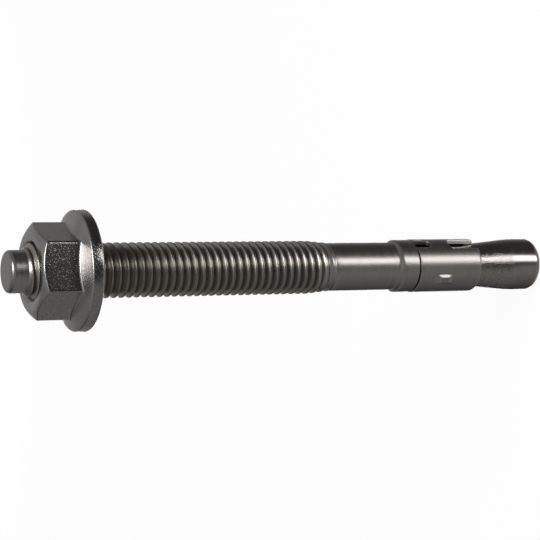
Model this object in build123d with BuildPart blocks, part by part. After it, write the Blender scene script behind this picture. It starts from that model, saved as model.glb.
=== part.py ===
"""M12 torque-controlled wedge anchor: one-piece stud with an expansion cone, clip rolled
round the neck above the cone, and hexagon flange nut run on to the thread.

The anchor stands on its cone end: the origin is the centre of that end face and +Z runs up
the axis towards the nut and the hammer pin. All sizes are in millimetres.
"""

import os
from math import cos, radians, sin, tan

from build123d import *

# ---------------------------------------------------------------- stud, from the cone up
CONE_D = 12.0                # expansion cone, across its cylindrical end
CONE_LAND = 4.4              # top of that cylinder, above the end face
CONE_END_ROUND = 1.9         # large round on the leading edge
CONE_HALF_ANGLE = 5.8        # degrees, slope of the expansion taper
CONE_BLEND = 42.0            # radius that carries the cylinder into the taper
NECK_D = 9.2                 # waist that the clip sits on
NECK_ROOT = 0.5              # sloped corner between the waist and the collar
COLLAR_D = 11.94             # collar that drives the clip into the hole
COLLAR_HEIGHT = 33.3         # its lower face, above the end face
COLLAR_LENGTH = 4.0          # its cylindrical part
COLLAR_TAPER = 0.95          # its tapered shoulder, along the axis
COLLAR_EDGE = 0.25           # soft edges left by cold forming, round above and broken below
SHANK_D = 10.8               # plain shank, the rolling diameter of the thread
SHANK_LENGTH = 15.75         # from the collar to the foot of the thread
THREAD_D = 11.86             # over the crests of the M12 thread
THREAD_LENGTH = 71.3         # from its run-out to its end chamfer
THREAD_RUN_OUT = 5.5         # part of that length in which the crests rise
PIN_D = 9.06                 # hammer pin on the end
PIN_LENGTH = 3.65
PIN_ROUND = 0.9

# ---------------------------------------------------------------- clip
CLIP_D = 12.15               # outside of the rolled sheet
CLIP_SHEET = 1.0             # its thickness
CLIP_LENGTH = 16.4
CLIP_PLAY = 0.3              # between the clip and the collar's lower face
CLIP_NOSE = 0.55             # broken outer edge towards the cone
CLIP_EDGE = 0.15             # broken outer edge towards the collar
CLIP_SEAM = 1.2              # gap where the rolled sheet closes, opposite the slots
CLIP_TURN = -40.0            # degrees about Z, where the slots are
COLLAR_SLOT_WIDTH = 3.0      # slot open towards the collar, with a round end
COLLAR_SLOT_DEPTH = 3.95
CONE_SLOT_WIDTH = 3.6        # slot open towards the cone, with rounded corners
CONE_SLOT_DEPTH = 7.7
CONE_SLOT_CORNER = 0.9
PAD_LENGTH = 4.7             # embossed pad on each half of the clip, across its flat top
PAD_WIDTH = 2.2
PAD_HEIGHT = 0.45
PAD_CORNER = 0.5
PAD_DRAFT = 35.0             # degrees, flanks of the pad from upright
PAD_EDGE = 0.15              # broken edge round its flat top
PAD_DROP = 6.35              # its centre, below the clip's collar end

# ---------------------------------------------------------------- flange nut
ACROSS_FLATS = 18.0
NUT_HEIGHT = 12.0
NUT_CLEARANCE = 0.07         # radial, between its bore and the crests
NUT_BELOW_END = 1.55          # its top face, below the end of the thread
NUT_COUNTERSINK_D = 13.2
NUT_CHAMFER_D = 17.0         # circle that stays flat on top of the hexagon
NUT_CHAMFER_ANGLE = 30.0
FLANGE_D = 26.0
FLANGE_RIM = 2.6             # height of the rim
FLANGE_RIM_DRAFT = 3.0       # degrees, the rim narrows upwards
FLANGE_EDGE = 0.3            # broken edges of the rim
FLANGE_SLOPE = 22.0          # degrees, top of the flange

OVERSHOOT = 1.0              # cutting tools run this far past the surface they open
SAME = 0.001                 # two radii closer than this are the same

# ---------------------------------------------------------------- heights along the axis
collar_top = COLLAR_HEIGHT + COLLAR_LENGTH
shank_foot = collar_top + COLLAR_TAPER
thread_foot = shank_foot + SHANK_LENGTH
thread_head = thread_foot + THREAD_LENGTH
stud_top = thread_head + PIN_LENGTH
clip_top = COLLAR_HEIGHT - CLIP_PLAY
clip_foot = clip_top - CLIP_LENGTH
pad_middle = clip_top - PAD_DROP
nut_top = thread_head - NUT_BELOW_END
nut_foot = nut_top - NUT_HEIGHT


def ring_at(edges, radius, height):
    """The circular edge of that radius round the axis, at that height."""
    rings = edges.filter_by(GeomType.CIRCLE).filter_by(lambda e: abs(e.radius - radius) < SAME)
    return rings.sort_by(lambda e: abs(e.center().Z - height))[0]


def outward_plane(angle, radius, height):
    """Plane facing away from the axis at that angle, with its y along +Z."""
    way = Vector(cos(radians(angle)), sin(radians(angle)), 0)
    across = Vector(-sin(radians(angle)), cos(radians(angle)), 0)
    return Plane(origin=way * radius + Vector(0, 0, height), x_dir=across, z_dir=way)


# ---------------------------------------------------------------- stud
# Cold formed in one piece, so it is one revolved half section: cone, neck, collar, shank,
# thread blank and pin.
cone_r, neck_r, collar_r = CONE_D / 2, NECK_D / 2, COLLAR_D / 2
shank_r, thread_r, pin_r = SHANK_D / 2, THREAD_D / 2, PIN_D / 2
cone_slope = radians(CONE_HALF_ANGLE)
blend_r = cone_r - CONE_BLEND * (1 - cos(cone_slope))
blend_top = CONE_LAND + CONE_BLEND * sin(cone_slope)
neck_foot = blend_top + (blend_r - neck_r) / tan(cone_slope)

with BuildPart() as stud:
    with BuildSketch(Plane.XZ):
        with BuildLine():
            Line((0, stud_top), (0, 0))
            Line((0, 0), (cone_r - CONE_END_ROUND, 0))
            RadiusArc((cone_r - CONE_END_ROUND, 0), (cone_r, CONE_END_ROUND), -CONE_END_ROUND)
            Line((cone_r, CONE_END_ROUND), (cone_r, CONE_LAND))
            RadiusArc((cone_r, CONE_LAND), (blend_r, blend_top), -CONE_BLEND)
            Polyline(
                (blend_r, blend_top),
                (neck_r, neck_foot),
                (neck_r, COLLAR_HEIGHT - NECK_ROOT),
                (neck_r + NECK_ROOT, COLLAR_HEIGHT),
                (collar_r - COLLAR_EDGE, COLLAR_HEIGHT),
                (collar_r, COLLAR_HEIGHT + COLLAR_EDGE),
                (collar_r, collar_top),
                (shank_r, shank_foot),
                (shank_r, thread_foot),
                (thread_r, thread_foot + THREAD_RUN_OUT),
                (thread_r, thread_head - (thread_r - pin_r)),
                (pin_r, thread_head),
                (pin_r, stud_top - PIN_ROUND),
            )
            RadiusArc((pin_r, stud_top - PIN_ROUND), (pin_r - PIN_ROUND, stud_top), -PIN_ROUND)
            Line((pin_r - PIN_ROUND, stud_top), (0, stud_top))
        make_face()
    revolve(axis=Axis.Z)
    fillet(ring_at(stud.edges(), collar_r, collar_top), radius=COLLAR_EDGE)
    fillet(ring_at(stud.edges(), shank_r, shank_foot), radius=COLLAR_EDGE)

# ---------------------------------------------------------------- expansion clip
# Stamped sheet rolled round the neck. Its centre line carries a slot from each end, and the
# seam lies opposite. Each half between them has one embossed pad.
clip_r = CLIP_D / 2
clip_bore_r = clip_r - CLIP_SHEET
pad_angles = (CLIP_TURN + 90, CLIP_TURN - 90)
pad_root = CLIP_SHEET / 2                      # the pads start inside the sheet
pad_spread = (PAD_HEIGHT + pad_root) * tan(radians(PAD_DRAFT))


def make_pad(angle):
    """Raised pad, drafted on its four flanks and broken round its top."""
    with BuildPart() as pad:
        with BuildSketch(outward_plane(angle, clip_r - pad_root, pad_middle)):
            RectangleRounded(
                PAD_WIDTH + 2 * pad_spread,
                PAD_LENGTH + 2 * pad_spread,
                PAD_CORNER + pad_spread,
            )
        extrude(amount=PAD_HEIGHT + pad_root, taper=PAD_DRAFT)
        way = outward_plane(angle, 0, 0).z_dir
        chamfer(pad.faces().sort_by(Axis((0, 0, 0), way))[-1].edges(), length=PAD_EDGE)
    return pad.part


pads = [make_pad(angle) for angle in pad_angles]

with BuildPart() as expansion_clip:
    with BuildSketch(Plane.XY.offset(clip_foot)):
        Circle(clip_r)
    extrude(amount=CLIP_LENGTH)
    chamfer(ring_at(expansion_clip.edges(), clip_r, clip_foot), length=CLIP_NOSE)
    chamfer(ring_at(expansion_clip.edges(), clip_r, clip_top), length=CLIP_EDGE)
    add(pads)
    with BuildSketch(Plane.XY.offset(clip_foot)):
        Circle(clip_bore_r)
    extrude(amount=CLIP_LENGTH, mode=Mode.SUBTRACT)
    # hollow behind each pad, so that the sheet keeps its thickness
    for angle in pad_angles:
        with BuildSketch(outward_plane(angle, clip_bore_r + PAD_HEIGHT, pad_middle)):
            RectangleRounded(PAD_WIDTH - CLIP_SHEET / 2, PAD_LENGTH - CLIP_SHEET / 2, PAD_CORNER)
        extrude(amount=-2 * PAD_HEIGHT, taper=-PAD_DRAFT, mode=Mode.SUBTRACT)
    with BuildSketch(outward_plane(CLIP_TURN, 0, clip_top)):
        slot_run = COLLAR_SLOT_DEPTH - COLLAR_SLOT_WIDTH / 2
        with Locations((0, -slot_run)):
            Circle(COLLAR_SLOT_WIDTH / 2)
            Rectangle(COLLAR_SLOT_WIDTH, slot_run + OVERSHOOT, align=(Align.CENTER, Align.MIN))
    extrude(amount=clip_r + OVERSHOOT, mode=Mode.SUBTRACT)
    with BuildSketch(outward_plane(CLIP_TURN, 0, clip_foot)) as cone_slot:
        with Locations((0, CONE_SLOT_DEPTH)):
            Rectangle(CONE_SLOT_WIDTH, CONE_SLOT_DEPTH + OVERSHOOT, align=(Align.CENTER, Align.MAX))
        fillet(cone_slot.vertices().group_by(Axis.Y)[-1], radius=CONE_SLOT_CORNER)
    extrude(amount=clip_r + OVERSHOOT, mode=Mode.SUBTRACT)
    with BuildSketch(outward_plane(CLIP_TURN + 180, 0, (clip_foot + clip_top) / 2)):
        Rectangle(CLIP_SEAM, CLIP_LENGTH + 2 * OVERSHOOT)
    extrude(amount=clip_r + OVERSHOOT, mode=Mode.SUBTRACT)

# ---------------------------------------------------------------- flange nut
# Forged in one piece: hexagon with a 30 degree chamfer, and a sloped flange below it.
flat_r = ACROSS_FLATS / 2
corner_r = flat_r / cos(radians(30))
flange_r = FLANGE_D / 2
bore_r = thread_r + NUT_CLEARANCE
sink_r = NUT_COUNTERSINK_D / 2
chamfer_r = NUT_CHAMFER_D / 2
rim_r = flange_r - FLANGE_RIM * tan(radians(FLANGE_RIM_DRAFT))
rim_top = nut_foot + FLANGE_RIM
chamfer_reach = corner_r + OVERSHOOT
chamfer_drop = (chamfer_reach - chamfer_r) * tan(radians(NUT_CHAMFER_ANGLE))
slope_top = rim_top + (rim_r - sink_r) * tan(radians(FLANGE_SLOPE))

with BuildPart() as flange_nut:
    with BuildSketch(Plane.XY.offset(nut_foot)):
        RegularPolygon(flat_r, 6, major_radius=False)
    extrude(amount=NUT_HEIGHT)
    with BuildSketch(Plane.XZ):
        Polygon(
            (0, nut_foot),
            (chamfer_reach, nut_foot),
            (chamfer_reach, nut_top - chamfer_drop),
            (chamfer_r, nut_top),
            (0, nut_top),
            align=None,
        )
    revolve(axis=Axis.Z, mode=Mode.INTERSECT)
    with BuildSketch(Plane.XZ) as flange_section:
        Polygon(
            (0, nut_foot),
            (flange_r, nut_foot),
            (rim_r, rim_top),
            (sink_r, slope_top),
            (0, slope_top),
            align=None,
        )
        chamfer(flange_section.vertices().sort_by(Axis.X)[-2:], length=FLANGE_EDGE)
    revolve(axis=Axis.Z)
    with BuildSketch(Plane.XZ):
        Polygon(
            (0, nut_foot - OVERSHOOT),
            (sink_r + OVERSHOOT, nut_foot - OVERSHOOT),
            (bore_r, nut_foot + sink_r - bore_r),
            (bore_r, nut_top - (sink_r - bore_r)),
            (sink_r + OVERSHOOT, nut_top + OVERSHOOT),
            (0, nut_top + OVERSHOOT),
            align=None,
        )
    revolve(axis=Axis.Z, mode=Mode.SUBTRACT)

# ---------------------------------------------------------------- files
os.makedirs("parts", exist_ok=True)
stud.part.label = "stud"
export_step(stud.part, "parts/stud.step")
expansion_clip.part.label = "expansion_clip"
export_step(expansion_clip.part, "parts/expansion_clip.step")
flange_nut.part.label = "flange_nut"
export_step(flange_nut.part, "parts/flange_nut.step")
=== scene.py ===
"""Looks of the M12 wedge anchor: the stud with its rolled thread, the rolled clip and the
flange nut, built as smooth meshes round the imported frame. The pieces' sizes are in
millimetres, and the places of camera, floor and lamps in metres."""

from math import cos, pi, radians, sin, sqrt, tan

import bmesh
import bpy
from mathutils import Matrix, Vector


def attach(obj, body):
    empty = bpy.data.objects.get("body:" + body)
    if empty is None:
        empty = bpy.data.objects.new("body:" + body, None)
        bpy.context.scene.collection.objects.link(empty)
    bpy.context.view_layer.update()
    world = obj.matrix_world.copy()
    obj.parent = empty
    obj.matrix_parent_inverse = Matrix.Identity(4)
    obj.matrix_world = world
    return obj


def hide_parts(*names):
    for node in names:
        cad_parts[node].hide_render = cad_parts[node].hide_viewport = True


MM = 0.001
MICRON = 0.000001
CAMERA_AZIMUTH = -97.1                     # degrees, the side of the anchor that the camera sees

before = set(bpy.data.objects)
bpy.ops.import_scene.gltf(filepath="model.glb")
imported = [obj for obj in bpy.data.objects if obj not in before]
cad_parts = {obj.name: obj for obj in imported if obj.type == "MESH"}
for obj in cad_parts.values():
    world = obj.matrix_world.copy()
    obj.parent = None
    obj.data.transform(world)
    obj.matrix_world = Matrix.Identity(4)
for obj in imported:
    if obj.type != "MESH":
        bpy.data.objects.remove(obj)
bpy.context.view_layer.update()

# ---------------------------------------------------------------- sizes
# stud, from the end face of its cone upwards
CONE_R = 6.0
CONE_LAND = 4.4                            # top of the cone's cylindrical part
CONE_END_ROUND = 1.9
CONE_SLOPE = radians(5.8)
CONE_BLEND = 42.0                          # radius that carries the cylinder into the taper
NECK_R = 4.6
NECK_ROOT = 0.5                            # round between the neck and the collar
COLLAR_R = 5.97
COLLAR_FOOT = 33.3
COLLAR_FOOT_ROUND = 0.18
COLLAR_TOP = 37.3
SHANK_R = 5.4
SHANK_FOOT = 38.25
# soft shoulder between them: radius and height, past the collar's top, then past the shank's foot
SHOULDER_TOP = ((0, -0.3), (-0.012, -0.08), (-0.06, 0.12), (-0.14, 0.27))
SHOULDER_FOOT = ((0.1, -0.19), (0.045, -0.07), (0.012, 0.08), (0, 0.25), (0, 1.0))
THREAD_FOOT = 54.0
THREAD_RUN_OUT = 5.5
THREAD_HEAD = 125.3
CREST_R = 5.93
ROOT_R = 4.95
PITCH = 1.75
CREST_FLAT = 0.1                           # half the width of a crest's flat top
CREST_ROUND = 0.17
CREST_TURNS = (0, 20, 40, 60)              # degrees turned along that round, down to the flank
ROOT_ROUND = 0.16
ROOT_TURNS = (60, 30, 0)
CREST_IN_VIEW = 0.85                       # height of a crest on the camera's side, within a pitch
PIN_R = 4.53
PIN_TOP = 128.95
PIN_ROUND = 0.9
STUD_COLUMNS = 120
# rings of vertices that only divide a flat end
CONE_END_RINGS = (0.0, 1.4, 2.8)
PIN_END_RINGS = (2.4, 1.2, 0.0)

# clip
CLIP_R = 6.075
SHEET = 1.0
CLIP_FOOT = 16.6
CLIP_TOP = 33.0
CLIP_TURN = radians(-40)                   # azimuth of the slots
NOSE_ROUND = 0.8
SEAM = 1.2
COLLAR_SLOT = (3.0, 3.95)                  # width, depth
CONE_SLOT = (3.6, 7.7)
CONE_SLOT_CORNER = 0.9
SHEARED_ROUND = 0.14                       # soft edges of the sheet
SHEARED_SHARE = 0.42                       # the most of the sheet's thickness that one takes
SHEARED_TURNS = (0, 30, 60, 90)            # degrees turned along one
PAD = (2.2, 4.7, 0.5)                      # width, length, height
PAD_DROP = 6.35                            # middle of the pads, below the clip's top
PAD_FLANK = 0.8                            # run of a pad's soft sides
PAD_END_FLANK = 2.6 * PAD_FLANK            # run of its soft ends
PAD_REACH = 0.38 * PAD_FLANK               # how far the sides end outside the pad's width
PAD_END_REACH = 0.36                       # how far the ends end outside its length
PAD_HOLLOW = 0.3                           # the hollow behind a pad is that much smaller all round
EASING = 0.28                              # share of a flank that each of its two rounds takes
# places of the columns and rows across a flank, in PAD_FLANK from the pad's edge
PAD_LINES = (-0.75, *(0.08 * i - 0.66 for i in range(16)), 0.64)
PAST_SLOT = 0.3                            # first even column beyond the wide slot
CLOSE = 0.03                               # lines of the clip's grid closer than this are one
TINY = 0.000001

# nut
FLAT_R = 9.0
NUT_TURN = radians(-91.6)                  # azimuth of a flat
NUT_FOOT = 111.75
NUT_TOP = 123.75
BORE_R = 6.0
SINK_R = 6.6
CHAMFER_R = 8.5
CHAMFER = radians(30)
FLANGE_R = 12.975                          # the 26 mm flange, just inside the facets of its solid
RIM = 2.6
RIM_DRAFT = radians(3)
RIM_ROUND = 0.4
RIM_FOOT_ROUND = 0.6
FLANGE_SLOPE = radians(22)
FLANGE_FILLET = 0.6
CORNER_ROUND = 0.35
CORNER_SPAN = 1.6 * CORNER_ROUND * tan(pi / 6) / FLAT_R     # angle that it takes on either side
CORNER_DROP = 0.06                         # and what it takes off the corner
# round between the flats and the chamfer: radius and height past their meeting line, in EDGE_ROUND
EDGE_ROUND = 0.15
EDGE_BEND = ((0, -1), (-0.12, -0.35), (-0.45, 0.12), (-1, tan(CHAMFER)))
TOP_ROUND = (0.08, 0.045)                  # between the chamfer and the top: radius and height
NUT_COLUMNS = 360
SEAT_RINGS = (9.0, 11.5)
TOP_RING = 7.6

MERGE = 1e-7                               # metres, points closer than this are one
DEGENERATE = 1e-8


# ---------------------------------------------------------------- mesh helpers
def polar_vertex(mesh, r, azimuth, z):
    """New vertex at a radius and a height in millimetres."""
    return mesh.verts.new((r * cos(azimuth) * MM, r * sin(azimuth) * MM, z * MM))


def finish_mesh(name, mesh):
    """The mesh as a smooth object in the scene."""
    bmesh.ops.remove_doubles(mesh, verts=mesh.verts, dist=MERGE)
    bmesh.ops.dissolve_degenerate(mesh, dist=DEGENERATE, edges=mesh.edges)
    bmesh.ops.recalc_face_normals(mesh, faces=mesh.faces)
    data = bpy.data.meshes.new(name)
    mesh.to_mesh(data)
    mesh.free()
    data.polygons.foreach_set("use_smooth", [True] * len(data.polygons))
    piece = bpy.data.objects.new(name, data)
    bpy.context.collection.objects.link(piece)
    return piece


def steps_between(a, b, n):
    """n + 1 even steps from a to b, with both."""
    return [a + (b - a) * i / n for i in range(n + 1)]


def arc(cx, cz, radius, start, end, steps):
    """Points (r, z) on an arc, with both ends."""
    return [(cx + radius * cos(a), cz + radius * sin(a)) for a in steps_between(start, end, steps)]


def along(radius, heights):
    """Points (r, z) on a cylinder."""
    return [(radius, z) for z in heights]


def across(radii, height):
    """Points (r, z) on a flat end."""
    return [(r, height) for r in radii]


def bend(radius, degrees):
    """Run along the start of a round, and drop from it, once it has turned by that angle."""
    return radius * sin(radians(degrees)), radius * (1 - cos(radians(degrees)))


# ---------------------------------------------------------------- stud
def half_thread():
    """From the middle of a crest to the middle of a root: (part of the pitch, part of the depth)."""
    depth = CREST_R - ROOT_R
    crest = [bend(CREST_ROUND, turned) for turned in CREST_TURNS]
    crest = [(CREST_FLAT + run, drop) for run, drop in crest]
    root = [bend(ROOT_ROUND, turned) for turned in ROOT_TURNS]
    root = [(PITCH / 2 - run, depth - drop) for run, drop in root]
    (x0, y0), (x1, y1) = crest[-1], root[0]
    points = [(0.0, 0.0), *crest, ((x0 + x1) / 2, (y0 + y1) / 2), *root]
    return [(x / PITCH, y / depth) for x, y in points]


def thread_radius(depth_part, z):
    """Radius at that part of the thread depth: full thread, run-out at the foot, chamfer on top."""
    rise = min(max((z - THREAD_FOOT) / THREAD_RUN_OUT, 0.0), 1.0)
    crest = SHANK_R + (CREST_R - SHANK_R) * rise
    root = SHANK_R + (ROOT_R - SHANK_R) * (1 - (1 - rise) ** 2)
    r = crest + (root - crest) * depth_part
    return min(r, PIN_R + THREAD_HEAD - z)


def thread_outline(shape, turn_part):
    """The thread's half section where the helix has climbed by that part of a turn."""
    below = THREAD_FOOT - 2 * PITCH
    crest = CREST_IN_VIEW - PITCH * CAMERA_AZIMUTH / 360              # at azimuth 0
    start = below + (crest - below) % PITCH - PITCH
    turns = int((THREAD_HEAD - THREAD_FOOT) / PITCH) + 4
    points = []
    for turn in range(turns):
        for share, depth in shape:
            z = start + (turn_part + turn + share) * PITCH
            z = min(max(z, THREAD_FOOT), THREAD_HEAD)
            points.append((thread_radius(depth, z), z))
    return points


def cone_outline():
    """The stud's half section from its end face to the foot of the thread."""
    end_r = CONE_R - CONE_END_ROUND
    blend_r = CONE_R - CONE_BLEND * (1 - cos(CONE_SLOPE))
    blend_top = CONE_LAND + CONE_BLEND * sin(CONE_SLOPE)
    neck_foot = blend_top + (blend_r - NECK_R) / tan(CONE_SLOPE)
    shank_low = SHANK_FOOT + SHOULDER_FOOT[-1][1]
    points = across(CONE_END_RINGS, 0.0)
    points += arc(end_r, CONE_END_ROUND, CONE_END_ROUND, -pi / 2, 0, 12)
    points += along(CONE_R, [CONE_LAND * 0.7])
    points += arc(CONE_R - CONE_BLEND, CONE_LAND, CONE_BLEND, 0, CONE_SLOPE, 8)
    taper = zip(steps_between(blend_r, NECK_R, 6), steps_between(blend_top, neck_foot, 6))
    points += list(taper)[1:]
    root = (NECK_R + NECK_ROOT, COLLAR_FOOT - NECK_ROOT)
    points += arc(*root, NECK_ROOT, pi, pi / 2, 4)
    foot = (COLLAR_R - COLLAR_FOOT_ROUND, COLLAR_FOOT + COLLAR_FOOT_ROUND)
    points += arc(*foot, COLLAR_FOOT_ROUND, -pi / 2, 0, 4)
    points += [(COLLAR_R + out, COLLAR_TOP + up) for out, up in SHOULDER_TOP]
    points += [(SHANK_R + out, SHANK_FOOT + up) for out, up in SHOULDER_FOOT]
    points += along(SHANK_R, steps_between(shank_low, THREAD_FOOT, 12)[1:-1])
    return points


def pin_outline():
    """The half section of the hammer pin, from the end of the thread to the axis."""
    round_foot = PIN_TOP - PIN_ROUND
    points = along(PIN_R, (THREAD_HEAD + 0.15, THREAD_HEAD + 1.0, round_foot - 0.3))
    points += arc(PIN_R - PIN_ROUND, round_foot, PIN_ROUND, 0, pi / 2, 8)
    points += across(PIN_END_RINGS, PIN_TOP)
    return points


def build_stud():
    half = half_thread()
    shape = half + [(1 - share, depth) for share, depth in half[-2:0:-1]]
    low, high = cone_outline(), pin_outline()
    mesh = bmesh.new()
    columns = []
    for i in range(STUD_COLUMNS + 1):
        turn_part = i / STUD_COLUMNS
        outline = low + thread_outline(shape, turn_part) + high
        columns.append([polar_vertex(mesh, r, 2 * pi * turn_part, z) for r, z in outline])
    for here, there in zip(columns, columns[1:]):
        for k in range(len(here) - 1):
            mesh.faces.new((here[k], there[k], there[k + 1], here[k + 1]))
    return finish_mesh("anchor_stud", mesh)


# ---------------------------------------------------------------- clip
# The sheet is laid out flat as a grid: u is the arc length from the middle of the slots, z the
# height. Columns and rows run through the slots' edges and crowd together on the pads' flanks.
def merged(values):
    """The values in order, without those close to the one before."""
    kept = []
    for value in sorted(values):
        if not kept or value - kept[-1] > CLOSE:
            kept.append(value)
    return kept


def slot_rows():
    """Heights where the sides of the two slots end and their round ends start."""
    cone_row = CLIP_FOOT + CONE_SLOT[1] - CONE_SLOT_CORNER
    collar_row = CLIP_TOP - COLLAR_SLOT[1] + COLLAR_SLOT[0] / 2
    return cone_row, collar_row


def clip_columns():
    """Arc lengths of the columns, from seam edge to seam edge."""
    collar, cone, corner = COLLAR_SLOT[0] / 2, CONE_SLOT[0] / 2, CONE_SLOT_CORNER
    half = [collar * sin(radians(15 * i)) for i in range(7)]
    half += [cone - corner + corner * sin(radians(18 * i)) for i in range(1, 6)]
    pad = CLIP_R * pi / 2
    side_u = PAD[0] / 2
    for side in (-1, 1):
        half += [pad + side * u for u in (0, 0.25, 0.5)]
        half += [pad + side * (side_u + PAD_FLANK * line) for line in PAD_LINES]
    end = CLIP_R * pi - SEAM / 2
    half += steps_between(cone + PAST_SLOT, pad - side_u - PAD_FLANK, 16)
    half += steps_between(pad + side_u + PAD_FLANK, end, 16)
    half = merged(half)
    half[-1] = end
    return [-u for u in reversed(half[1:])] + half


def clip_rows():
    """Heights of the rows, from the nose to the collar."""
    cone_row, collar_row = slot_rows()
    pad = CLIP_TOP - PAD_DROP
    end_z = PAD[1] / 2
    rows = [CLIP_FOOT + NOSE_ROUND * (1 - cos(radians(9 * i))) for i in range(11)]
    rows += steps_between(CLIP_FOOT + NOSE_ROUND, cone_row, 12)
    for side in (-1, 1):
        rows += [pad + side * z for z in (0, 0.4, 0.8, 1.2)]
        rows += [pad + side * (end_z + PAD_FLANK * line) for line in PAD_LINES]
    rows += steps_between(pad + end_z + PAD_FLANK, collar_row, 3)
    rows += steps_between(collar_row, CLIP_TOP, 5)
    return merged(rows)


def cone_slot_end(u):
    """Height of the closed end of the slot on the cone's side."""
    past = max(0.0, abs(u) - (CONE_SLOT[0] / 2 - CONE_SLOT_CORNER))
    drop = CONE_SLOT_CORNER - sqrt(max(0.0, CONE_SLOT_CORNER ** 2 - past ** 2))
    return CLIP_FOOT + CONE_SLOT[1] - drop


def collar_slot_end(u):
    """Height of the closed end of the slot on the collar's side."""
    radius = COLLAR_SLOT[0] / 2
    return slot_rows()[1] - sqrt(max(0.0, radius ** 2 - u ** 2))


def clip_sheet():
    """The flat sheet: its points by (column, row), its cells by their lower left point, and the row
    where the slot on the cone's side starts to close."""
    us, zs = clip_columns(), clip_rows()
    low, high = (min(range(len(zs)), key=lambda j: abs(zs[j] - z)) for z in slot_rows())
    cone_half, collar_half = CONE_SLOT[0] / 2, COLLAR_SLOT[0] / 2

    def height(u, j):
        """Between the slots a row bends to follow their round ends."""
        if abs(u) > cone_half + TINY or not low <= j <= high:
            return zs[j]
        bottom = cone_slot_end(u)
        top = collar_slot_end(u) if abs(u) < collar_half + TINY else zs[high]
        return bottom + (zs[j] - zs[low]) * (top - bottom) / (zs[high] - zs[low])

    def solid(i, j):
        middle = abs(us[i] + us[i + 1]) / 2
        in_cone_slot = j < low and middle < cone_half
        in_collar_slot = j >= high and middle < collar_half
        return not (in_cone_slot or in_collar_slot)

    points = {(i, j): (u, height(u, j)) for i, u in enumerate(us) for j in range(len(zs))}
    cells = [(i, j) for i in range(len(us) - 1) for j in range(len(zs) - 1) if solid(i, j)]
    return points, cells, low


def corners_of(cell):
    """The points round a cell, anticlockwise from the lower left."""
    i, j = cell
    return (i, j), (i + 1, j), (i + 1, j + 1), (i, j + 1)


def free_edges(cells):
    """The edges that bound the sheet, each with the sheet on its left."""
    filled = set(cells)
    edges = []
    for i, j in cells:
        ring = corners_of((i, j))
        beyond = ((i, j - 1), (i + 1, j), (i, j + 1), (i - 1, j))
        edges += [(ring[k], ring[(k + 1) % 4]) for k in range(4) if beyond[k] not in filled]
    return edges


def ways_out(points, edges):
    """Direction (u, z) out of the sheet at each point of its free edges."""
    out = {}
    for start, end in edges:
        (u0, z0), (u1, z1) = points[start], points[end]
        normal = Vector((z1 - z0, u0 - u1)).normalized()
        for key in (start, end):
            out[key] = out.get(key, Vector((0, 0))) + normal
    return {key: way.normalized() for key, way in out.items()}


def ease(t):
    """From 0 to 1 with an even slope between two rounded ends."""
    t = min(max(t, 0.0), 1.0)
    if t < EASING:
        return t * t / (2 * EASING * (1 - EASING))
    if t > 1 - EASING:
        return 1 - (1 - t) ** 2 / (2 * EASING * (1 - EASING))
    return (t - EASING / 2) / (1 - EASING)


def pad_lift(u, z, shrink):
    """How far the sheet is pushed out there by a pad smaller by shrink, from 0 to 1."""
    beside = abs(abs(u) - CLIP_R * pi / 2) - PAD[0] / 2 + shrink
    beyond = abs(z - (CLIP_TOP - PAD_DROP)) - PAD[1] / 2 + shrink
    side = (beside - PAD_REACH) / PAD_FLANK + 1
    end = (beyond - PAD_END_REACH) / PAD_END_FLANK + 1
    return (1 - ease(side)) * (1 - ease(end))


def outer_radius(u, z):
    up = max(0.0, CLIP_FOOT + NOSE_ROUND - z)
    nose = NOSE_ROUND - sqrt(max(0.0, NOSE_ROUND ** 2 - up ** 2))
    return CLIP_R - nose + PAD[2] * pad_lift(u, z, 0)


def inner_radius(u, z):
    return CLIP_R - SHEET + PAD[2] * pad_lift(u, z, PAD_HOLLOW)


def clip_vertex(mesh, u, z, r):
    return polar_vertex(mesh, r, CLIP_TURN + u / CLIP_R, z)


def sheared_edge(mesh, u, z, way):
    """The sheet's rounded edge at a point, as vertices from its outer face to its inner one."""
    outer, inner = outer_radius(u, z), inner_radius(u, z)
    edge = min(SHEARED_ROUND, SHEARED_SHARE * (outer - inner))
    string = []
    for side, face in ((1, outer), (-1, inner)):
        curve = []
        for turned in SHEARED_TURNS:
            run, deep = bend(edge, turned)
            back = edge - run
            curve.append(clip_vertex(mesh, u - way.x * back, z - way.y * back, face - side * deep))
        string += curve[::side]
    return string


def build_clip():
    points, cells, closing_row = clip_sheet()
    edges = free_edges(cells)
    out = ways_out(points, edges)
    mesh = bmesh.new()
    strings = {}                           # vertices through the sheet, from outside to inside
    for key in sorted({corner for cell in cells for corner in corners_of(cell)}):
        u, z = points[key]
        if key in out:
            strings[key] = sheared_edge(mesh, u, z, out[key])
        else:
            strings[key] = [clip_vertex(mesh, u, z, r(u, z)) for r in (outer_radius, inner_radius)]
    for cell in cells:
        ring = [strings[corner] for corner in corners_of(cell)]
        mesh.faces.new([string[0] for string in ring])
        mesh.faces.new([string[-1] for string in reversed(ring)])
    for start, end in edges:
        here, there = strings[start], strings[end]
        upright = start[0] == end[0]
        for k in range(len(here) - 1):
            wall = mesh.faces.new((here[k], here[k + 1], there[k + 1], there[k]))
            wall.material_index = int(upright and max(start[1], end[1]) <= closing_row)
    return finish_mesh("anchor_clip", mesh)


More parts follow.
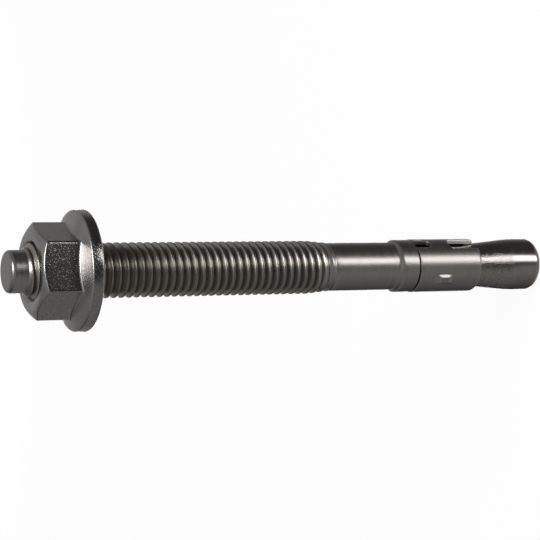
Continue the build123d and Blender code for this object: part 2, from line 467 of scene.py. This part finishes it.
# ---------------------------------------------------------------- flange nut
def nut_outline(azimuth):
    """The nut's section at an azimuth: bore, seat, rim, flange, flat or corner, chamfer, top."""
    turn = (azimuth - NUT_TURN + pi / 6) % (pi / 3) - pi / 6          # from the middle of a flat
    into_corner = max(0.0, 1 - (pi / 6 - abs(turn)) / CORNER_SPAN)
    wall = FLAT_R / cos(turn) - CORNER_DROP * into_corner ** 2
    lean = pi / 2 - FLANGE_SLOPE
    # bore, seat and rim
    points = [(BORE_R, NUT_FOOT + SINK_R - BORE_R)]
    points += across((SINK_R, *SEAT_RINGS), NUT_FOOT)
    foot = (FLANGE_R - RIM_FOOT_ROUND, NUT_FOOT + RIM_FOOT_ROUND)
    points += arc(*foot, RIM_FOOT_ROUND, -pi / 2, 0, 8)
    rim_r = FLANGE_R - RIM * tan(RIM_DRAFT)
    rim_top = (rim_r - RIM_ROUND, NUT_FOOT + RIM - RIM_ROUND * tan(lean / 2))
    points += arc(*rim_top, RIM_ROUND, 0, lean, 6)
    # slope, and its fillet against the hexagon
    top_r, top_z = points[-1]
    foot_z = top_z + (top_r - wall) * tan(FLANGE_SLOPE)
    reach = FLANGE_FILLET * tan(lean / 2)
    end_r, end_z = wall + reach * cos(FLANGE_SLOPE), foot_z - reach * sin(FLANGE_SLOPE)
    points += [(top_r + (end_r - top_r) * s, top_z + (end_z - top_z) * s) for s in (0.33, 0.66)]
    fillet = (wall + FLANGE_FILLET, foot_z + reach)
    points += arc(*fillet, FLANGE_FILLET, -pi / 2 - FLANGE_SLOPE, -pi, 5)
    # hexagon, chamfer and top
    edge_z = NUT_TOP - (wall - CHAMFER_R) * tan(CHAMFER)
    flat_foot = foot_z + reach
    points += along(wall, [flat_foot + (edge_z - flat_foot) * s for s in (0.3, 0.6, 0.9)])
    points += [(wall + EDGE_ROUND * out, edge_z + EDGE_ROUND * up) for out, up in EDGE_BEND]
    middle = (wall - EDGE_ROUND + CHAMFER_R) / 2
    points += [(middle, NUT_TOP - (middle - CHAMFER_R) * tan(CHAMFER))]
    points += [(CHAMFER_R + TOP_ROUND[0], NUT_TOP - TOP_ROUND[1])]
    points += across((CHAMFER_R - TOP_ROUND[0], TOP_RING, SINK_R + 0.1), NUT_TOP)
    points += [(SINK_R - 0.06, NUT_TOP - 0.06), (BORE_R, NUT_TOP - (SINK_R - BORE_R))]
    return points


def build_nut():
    mesh = bmesh.new()
    columns = []
    for i in range(NUT_COLUMNS):
        azimuth = 2 * pi * i / NUT_COLUMNS
        columns.append([polar_vertex(mesh, r, azimuth, z) for r, z in nut_outline(azimuth)])
    for here, there in zip(columns, columns[1:] + columns[:1]):
        for k in range(len(here)):
            n = (k + 1) % len(here)
            mesh.faces.new((here[k], there[k], there[n], here[n]))
    return finish_mesh("anchor_flange_nut", mesh)


stud = build_stud()
nut = build_nut()
clip = build_clip()
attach(stud, "stud")
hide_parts("stud")
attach(clip, "clip")
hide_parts("expansion_clip")
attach(nut, "nut")
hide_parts("flange_nut")


# ---------------------------------------------------------------- materials
def put(tree, socket, value):
    """Sets a socket to a number or a colour, or links another socket to it."""
    if isinstance(value, bpy.types.NodeSocket):
        tree.links.new(value, socket)
    elif isinstance(value, tuple):
        socket.default_value = (*value, 1)
    else:
        socket.default_value = value


def math_node(tree, operation, *values):
    """Result of that operation on numbers or sockets."""
    node = tree.nodes.new("ShaderNodeMath")
    node.operation = operation
    for socket, value in zip(node.inputs, values):
        put(tree, socket, value)
    return node.outputs[0]


def smooth_step(tree, value, low, high, start=0.0, end=1.0):
    """start where value is at or below low, end at or above high, smooth between."""
    node = tree.nodes.new("ShaderNodeMapRange")
    node.interpolation_type = "SMOOTHSTEP"
    tree.links.new(value, node.inputs["Value"])
    for name, number in (("From Min", low), ("From Max", high), ("To Min", start), ("To Max", end)):
        node.inputs[name].default_value = number
    return node.outputs[0]


def mix_colours(tree, factor, first, second):
    """Colour between two colours or colour sockets."""
    node = tree.nodes.new("ShaderNodeMix")
    node.data_type = "RGBA"
    tree.links.new(factor, node.inputs[0])
    put(tree, node.inputs[6], first)
    put(tree, node.inputs[7], second)
    return node.outputs[2]


class Look:
    """A metal built from nodes. Its places are in the object's own frame, in millimetres."""

    def __init__(self, name):
        self.material = bpy.data.materials.new(name)
        self.material.use_nodes = True
        self.tree = self.material.node_tree
        self.nodes, self.links = self.tree.nodes, self.tree.links
        self.shader = self.nodes["Principled BSDF"]
        self.shader.inputs["Metallic"].default_value = 1.0
        coord = self.nodes.new("ShaderNodeTexCoord")
        scale = self.nodes.new("ShaderNodeVectorMath")
        scale.operation = "SCALE"
        scale.inputs["Scale"].default_value = 1 / MM
        self.links.new(coord.outputs["Object"], scale.inputs[0])
        self.place = scale.outputs[0]
        self.facing = coord.outputs["Normal"]

    def split(self, vector):
        node = self.nodes.new("ShaderNodeSeparateXYZ")
        self.links.new(vector, node.inputs[0])
        return node.outputs

    def math(self, operation, *values):
        return math_node(self.tree, operation, *values)

    def radius(self):
        """Distance from the axis."""
        x, y, z = self.split(self.place)
        squares = [self.math("MULTIPLY", side, side) for side in (x, y)]
        return self.math("SQRT", self.math("ADD", *squares))

    def ramp(self, value, low, high, start=0.0, end=1.0):
        return smooth_step(self.tree, value, low, high, start, end)

    def noise(self, per_mm, stretch=(1, 1, 1), detail=3.0, rough=0.5):
        """Noise with that many cells to a millimetre, along each axis times stretch."""
        mapping = self.nodes.new("ShaderNodeMapping")
        mapping.inputs["Scale"].default_value = stretch
        self.links.new(self.place, mapping.inputs["Vector"])
        node = self.nodes.new("ShaderNodeTexNoise")
        node.inputs["Scale"].default_value = per_mm
        node.inputs["Detail"].default_value = detail
        node.inputs["Roughness"].default_value = rough
        self.links.new(mapping.outputs[0], node.inputs["Vector"])
        return node.outputs["Fac"]

    def cells(self, per_mm):
        """Distance from the middle of the nearest random cell, that many to a millimetre."""
        node = self.nodes.new("ShaderNodeTexVoronoi")
        node.inputs["Scale"].default_value = per_mm
        self.links.new(self.place, node.inputs["Vector"])
        return node.outputs["Distance"]

    def blend(self, factor, first, second):
        return mix_colours(self.tree, factor, first, second)

    def between(self, factor, first, second):
        """Number between two numbers or sockets."""
        node = self.nodes.new("ShaderNodeMix")
        self.links.new(factor, node.inputs[0])
        put(self.tree, node.inputs[2], first)
        put(self.tree, node.inputs[3], second)
        return node.outputs[0]

    def bump(self, height, microns, below=None):
        """Relief of that height, on top of an earlier one."""
        node = self.nodes.new("ShaderNodeBump")
        node.inputs["Strength"].default_value = 1.0
        node.inputs["Distance"].default_value = microns * MICRON
        self.links.new(height, node.inputs["Height"])
        if below is not None:
            self.links.new(below, node.inputs["Normal"])
        return node.outputs[0]

    def finish(self, colour, roughness, normal):
        self.links.new(colour, self.shader.inputs["Base Color"])
        self.links.new(roughness, self.shader.inputs["Roughness"])
        self.links.new(normal, self.shader.inputs["Normal"])
        return self.material


STEEL = (0.242, 0.228, 0.213)
STEEL_LIGHT = (0.27, 0.256, 0.24)
STEEL_DARK = (0.205, 0.194, 0.181)
CREST_NEAR = (0.27, 0.25, 0.225)           # the thread's flanks near the shank: their own colour, kept darker as painted shade that evens the highlight along the thread
CREST_FAR = (0.30, 0.276, 0.245)           # and near the nut: their own colour, paler as painted light
CREST_TOP_SHADE = (0.165, 0.154, 0.139)          # darker tops of the crests: painted shade that dims the highlight they catch
# painted shade in the thread's roots, where the flanks shade each other
ROOT_PAINTED_SHADE = (0.09, 0.078, 0.065)
GRIT = (0.09, 0.085, 0.08)                 # in the pits of the blasted cone
SHEARED = ((0.5, 0.48, 0.45), (0.95, 0.92, 0.88))
FORGED = ((0.25, 0.243, 0.233), (0.30, 0.292, 0.28))
PIT_MIDDLE = (0.34, 0.328, 0.315)
PIT_EDGE = (0.185, 0.178, 0.17)
NUT_WEAR = (0.19, 0.18, 0.168)

# heights or radii between which one finish gives way to the next, in millimetres; on the thread they
# grade painted light and painted shade
THREAD_START = (THREAD_FOOT + 0.5, THREAD_FOOT + 3.5)
THREAD_END = (THREAD_HEAD - 1, THREAD_HEAD)
FLANK_LIGHT_RANGE = (66, 100)                    # the flanks grow paler, painted light that evens their highlight along the thread
ROOT_SHADE_RANGE = (ROOT_R, ROOT_R + 0.3)
CREST_SHADE_RANGE = (CREST_R - 0.13, CREST_R - 0.01)
LAND_END = (7.2, 8.4)                      # the cone's smooth land, and the blasted skin above it
BLAST_START = (7.4, 8.6)
BLAST_END = (24, 27)                       # under the clip
RIM_PITS = (11.5, 12.3)                    # the pits grow deeper on the nut's rim


def drawn_steel(look, rings, clouds):
    """Colour of the bare steel: fine marks round the axis, softened by clouds."""
    colour = look.blend(look.ramp(rings, 0.3, 0.7), STEEL_DARK, STEEL_LIGHT)
    return look.blend(look.ramp(clouds, 0.3, 0.7, 0.2, 0.9), colour, STEEL)


def stud_look():
    look = Look("stud_steel")
    z = look.split(look.place)[2]
    radius = look.radius()
    rings = look.noise(1.0, (0.12, 0.12, 5.0), 4.0, 0.6)
    clouds = look.noise(0.6, detail=4.0, rough=0.6)
    scratches = look.noise(1.6, (1, 1, 2.5), 3.0, 0.6)
    blast = look.cells(2.6)
    in_thread = look.math("MULTIPLY", look.ramp(z, *THREAD_START), look.ramp(z, *THREAD_END, 1, 0))
    on_cone = look.math("MULTIPLY", look.ramp(z, *BLAST_START), look.ramp(z, *BLAST_END, 1, 0))
    on_land = look.ramp(z, *LAND_END, 1, 0)

    # the flanks' own colour, with painted light that makes them paler towards the nut
    thread = look.blend(look.ramp(z, *FLANK_LIGHT_RANGE), CREST_NEAR, CREST_FAR)
    # painted shade: darker towards the thread's roots
    thread = look.blend(look.ramp(radius, *ROOT_SHADE_RANGE), ROOT_PAINTED_SHADE, thread)
    # painted shade on the tops of the crests
    thread = look.blend(look.ramp(radius, *CREST_SHADE_RANGE), thread, CREST_TOP_SHADE)
    colour = look.blend(in_thread, drawn_steel(look, rings, clouds), thread)
    grit = look.math("MULTIPLY", on_cone, look.ramp(blast, 0.35, 0.7, 0, 0.3))
    colour = look.blend(grit, colour, GRIT)

    rough = look.ramp(rings, 0.3, 0.7, 0.28, 0.36)
    rough = look.between(on_land, rough, 0.19)
    rough = look.between(on_cone, rough, look.ramp(blast, 0.2, 0.6, 0.15, 0.22))
    rough = look.between(in_thread, rough, 0.3)

    normal = look.bump(rings, 6)
    normal = look.bump(look.math("MULTIPLY", look.ramp(blast, 0.1, 0.6), on_cone), 21, normal)
    normal = look.bump(look.math("MULTIPLY", scratches, in_thread), 30, normal)
    return look.finish(colour, rough, normal)


def clip_look():
    look = Look("clip_steel")
    rings = look.noise(1.0, (0.15, 0.15, 5.0), 4.0, 0.6)
    clouds = look.noise(0.5, detail=4.0, rough=0.6)
    grain = look.noise(5.0, detail=2.0, rough=0.6)
    rough = look.ramp(rings, 0.3, 0.7, 0.29, 0.36)
    normal = look.bump(grain, 5, look.bump(rings, 3))
    return look.finish(drawn_steel(look, rings, clouds), rough, normal)


def cut_edge_look():
    """Sheared edges of the sheet, paler and coarser than its faces."""
    look = Look("clip_cut_edge")
    grain = look.noise(6.0, detail=3.0, rough=0.7)
    colour = look.blend(look.ramp(grain, 0.35, 0.65), *SHEARED)
    rough = look.ramp(grain, 0.3, 0.7, 0.35, 0.5)
    return look.finish(colour, rough, look.bump(grain, 30))


def nut_look():
    """Forged steel, plain on the faces that slope and pitted on the flats and the rim."""
    look = Look("nut_steel")
    rise = look.math("ABSOLUTE", look.split(look.facing)[2])
    upright = look.ramp(rise, 0.12, 0.3, 1, 0)
    deep = look.ramp(look.radius(), *RIM_PITS, 0.55, 1)
    pits = look.cells(2.6)
    fine = look.noise(6.5, detail=2.0, rough=0.6)
    clouds = look.noise(0.25)
    wear = look.noise(0.35, detail=4.0, rough=0.65)
    plain = look.blend(look.ramp(clouds, 0.3, 0.7), *FORGED)
    pitted = look.blend(look.ramp(pits, 0.1, 0.5), PIT_MIDDLE, PIT_EDGE)
    pitted = look.blend(look.ramp(wear, 0.35, 0.65, 0, 0.5), pitted, NUT_WEAR)
    plain_rough = look.ramp(fine, 0.3, 0.7, 0.24, 0.3)
    pitted_rough = look.ramp(pits, 0.1, 0.4, 0.23, 0.19)
    relief = look.math("MULTIPLY", look.ramp(pits, 0.1, 0.45), look.math("MULTIPLY", upright, deep))
    normal = look.bump(fine, 3, look.bump(relief, 12.5))
    return look.finish(
        look.blend(upright, plain, pitted), look.between(upright, plain_rough, pitted_rough), normal
    )


stud.data.materials.append(stud_look())
clip.data.materials.append(clip_look())
clip.data.materials.append(cut_edge_look())
nut.data.materials.append(nut_look())

# ---------------------------------------------------------------- camera
# The stud lies across the picture: its +Z runs to the left, away from the camera's right.
TOWARDS = radians(CAMERA_AZIMUTH)
CAMERA_OUT = 0.34988                       # from the stud's axis
CAMERA_HEIGHT = 0.23667                    # above its end face
# the picture's right and the way back out of it, as shares of up the stud, towards the camera and
# towards the picture's upper edge
PICTURE_RIGHT = (-0.90103, 0.43346, -0.01523)
PICTURE_BACK = (0.43350, 0.90115, 0.00124)
FOCAL_PX = 1753.1
FRAME_PX = 540
SENSOR = 36

up_axis = Vector((0, 0, 1))
near = Vector((cos(TOWARDS), sin(TOWARDS), 0))
top = Vector((-sin(TOWARDS), cos(TOWARDS), 0))     # azimuth of the picture's upper edge


def direction(along_up, along_near, along_top):
    return (along_up * up_axis + along_near * near + along_top * top).normalized()


def turned_to(x, z):
    """Rotation that puts the local X and Z axes along those."""
    return Matrix((x, z.cross(x), z)).transposed().to_4x4()


camera = bpy.data.objects.new("camera", bpy.data.cameras.new("camera"))
bpy.context.collection.objects.link(camera)
place = near * CAMERA_OUT + up_axis * CAMERA_HEIGHT
turn = turned_to(direction(*PICTURE_RIGHT), direction(*PICTURE_BACK))
camera.matrix_world = Matrix.Translation(place) @ turn
camera.data.sensor_width = SENSOR
camera.data.lens = FOCAL_PX * SENSOR / FRAME_PX
camera.data.clip_start = 0.01
bpy.context.scene.camera = camera

# ---------------------------------------------------------------- floor
HALF_FLOOR = 3.0
PAPER = (0.94, 0.94, 0.94)
FLOOR_WHITE = 0.94                         # share of plain white that the camera sees in it
REFLECTED = 0.05                           # share of the pale background that the metal shows
BACKDROP = (0.8, 0.8, 0.8)                 # that background, past the edge of the floor
floor_mesh = bpy.data.meshes.new("floor")
corners = ((-1, -1), (1, -1), (1, 1), (-1, 1))
floor_mesh.from_pydata([(HALF_FLOOR * x, HALF_FLOOR * y, 0) for x, y in corners], [], [(0, 1, 2, 3)])
floor = bpy.data.objects.new("floor", floor_mesh)
bpy.context.collection.objects.link(floor)
# the anchor is lit from below as well, as it would be lying across open white
floor.visible_glossy = False
floor.visible_shadow = False


def show_pale(tree, usual, pale, in_view, output):
    """Shows the pale shader by the share in_view to the camera and by REFLECTED in reflections
    and through glass, and the usual one to all other rays."""
    path = tree.nodes.new("ShaderNodeLightPath")
    share = math_node(tree, "MULTIPLY", path.outputs["Is Camera Ray"], in_view)
    for ray in ("Is Glossy Ray", "Is Transmission Ray"):
        share = math_node(tree, "MULTIPLY_ADD", path.outputs[ray], REFLECTED, share)
    mix = tree.nodes.new("ShaderNodeMixShader")
    tree.links.new(share, mix.inputs[0])
    tree.links.new(usual.outputs[0], mix.inputs[1])
    tree.links.new(pale.outputs[0], mix.inputs[2])
    tree.links.new(mix.outputs[0], tree.nodes[output].inputs["Surface"])


paper = bpy.data.materials.new("pale_paper")
paper.use_nodes = True
shader = paper.node_tree.nodes["Principled BSDF"]
shader.inputs["Base Color"].default_value = (*PAPER, 1)
shader.inputs["Roughness"].default_value = 1.0
shader.inputs["Specular IOR Level"].default_value = 0.0
glow = paper.node_tree.nodes.new("ShaderNodeEmission")
glow.inputs["Strength"].default_value = 1.0
show_pale(paper.node_tree, shader, glow, FLOOR_WHITE, "Material Output")
floor_mesh.materials.append(paper)


# ---------------------------------------------------------------- lamps
def at(azimuth, distance, height):
    """Place at an azimuth from the camera's side towards the picture's upper edge, in degrees."""
    a = TOWARDS + radians(azimuth)
    return Vector((distance * cos(a), distance * sin(a), height))


def panel(name, place, aim, width, height, radiance):
    """A soft rectangular lamp of that radiance, facing the aim point, not seen by the camera."""
    lamp = bpy.data.lights.new(name, "AREA")
    lamp.shape = "RECTANGLE"
    lamp.size, lamp.size_y = width, height
    lamp.energy = radiance * width * height * pi
    item = bpy.data.objects.new(name, lamp)
    bpy.context.collection.objects.link(item)
    z = (place - aim).normalized()
    x = (up_axis if abs(z.z) < 0.9 else top).cross(z).normalized()
    item.matrix_world = Matrix.Translation(place) @ turned_to(x, z)
    item.visible_camera = False


# the long streak on the stud: one strip, with a narrower piece at its upper end
KEY = 5.4
panel("key_strip", at(26, 0.45, -0.39), at(26, 0, -0.39), 0.2, 0.54, KEY)
panel("key_strip_end", at(29, 0.45, -0.0775), at(29, 0, -0.0775), 0.145, 0.085, KEY)
# a strip on the far side, and a lamp above for the white streak on the flange's slope
panel("back_strip", at(180, 0.45, -0.16), at(180, 0, -0.16), 0.22, 0.4, 4.0)
panel("overhead", at(40, 0.24, 0.6), at(0, 0, 0.115), 0.22, 0.24, 15.0)

# ---------------------------------------------------------------- world
# The studio round the object, in rings from below upwards: brightness by azimuth, as above.
LOW = (
    (-180, 0.28), (-152, 0.01), (-130, 0.04), (-108, 0.13), (-76, 0.26),
    (-45, 0.39), (-14, 0.43), (-6, 0.22), (5, 0.02), (16, 0.02),
    (50, 0.04), (118, 0.05), (140, 0.26), (165, 0.31), (180, 0.28),
)
NEAR_LEVEL = (
    (-180, 0.42), (-150, 0.31), (-106, 0.39), (-60, 0.43), (-28, 0.43), (-15, 0.05),
    (10, 0.00), (60, 0.03), (115, 0.07), (132, 0.39), (150, 0.39), (180, 0.42),
)
FRONT = (
    (-180, 0.47), (-150, 0.26), (-130, 0.01), (-112, 0.03), (-85, 0.26), (-60, 0.37), (-12, 0.42),
    (0, 0.58), (25, 0.58), (40, 0.37), (110, 0.37), (130, 0.42), (180, 0.47),
)
HIGH = (
    (-180, 0.47), (-155, 0.32), (-120, 0.26), (-90, 0.37), (-60, 0.42), (-10, 0.42), (5, 0.45),
    (25, 0.45), (45, 0.16), (55, 0.11), (100, 0.11), (125, 0.47), (180, 0.47),
)
EVEN = (0.47, 0.47, 0.47)                  # straight below and overhead
world = bpy.data.worlds.new("studio")
bpy.context.scene.world = world
world.use_nodes = True
studio = world.node_tree

coord = studio.nodes.new("ShaderNodeTexCoord")
parts = studio.nodes.new("ShaderNodeSeparateXYZ")
studio.links.new(coord.outputs["Generated"], parts.inputs[0])
azimuth = math_node(studio, "ARCTAN2", parts.outputs[1], parts.outputs[0])
azimuth = math_node(studio, "SUBTRACT", azimuth, TOWARDS)
azimuth = math_node(studio, "WRAP", azimuth, pi, -pi)
azimuth = math_node(studio, "MULTIPLY_ADD", azimuth, 0.5 / pi, 0.5)


def ring(levels):
    """Brightness by azimuth at one height."""
    node = studio.nodes.new("ShaderNodeValToRGB")
    studio.links.new(azimuth, node.inputs[0])
    stops = node.color_ramp.elements
    while len(stops) < len(levels):
        stops.new(0.5)
    for stop, (angle, level) in zip(stops, levels):
        stop.position = angle / 360 + 0.5
        stop.color = (level, level, level, 1)
    return node.outputs[0]


def over(below, above, low, high):
    """The first shade under elevation low, the other above elevation high, in degrees."""
    share = smooth_step(studio, parts.outputs[2], sin(radians(low)), sin(radians(high)))
    return mix_colours(studio, share, below, above)


sky = over(EVEN, ring(LOW), -58, -42)
sky = over(sky, ring(NEAR_LEVEL), -27, -21)
sky = over(sky, ring(FRONT), -8, 4)
sky = over(sky, ring(HIGH), 18, 32)
sky = over(sky, EVEN, 62, 72)
background = studio.nodes["Background"]
studio.links.new(sky, background.inputs["Color"])
backdrop = studio.nodes.new("ShaderNodeBackground")
backdrop.inputs["Color"].default_value = (*BACKDROP, 1)
show_pale(studio, background, backdrop, 1.0, "World Output")

bpy.context.scene.view_settings.view_transform = "Standard"
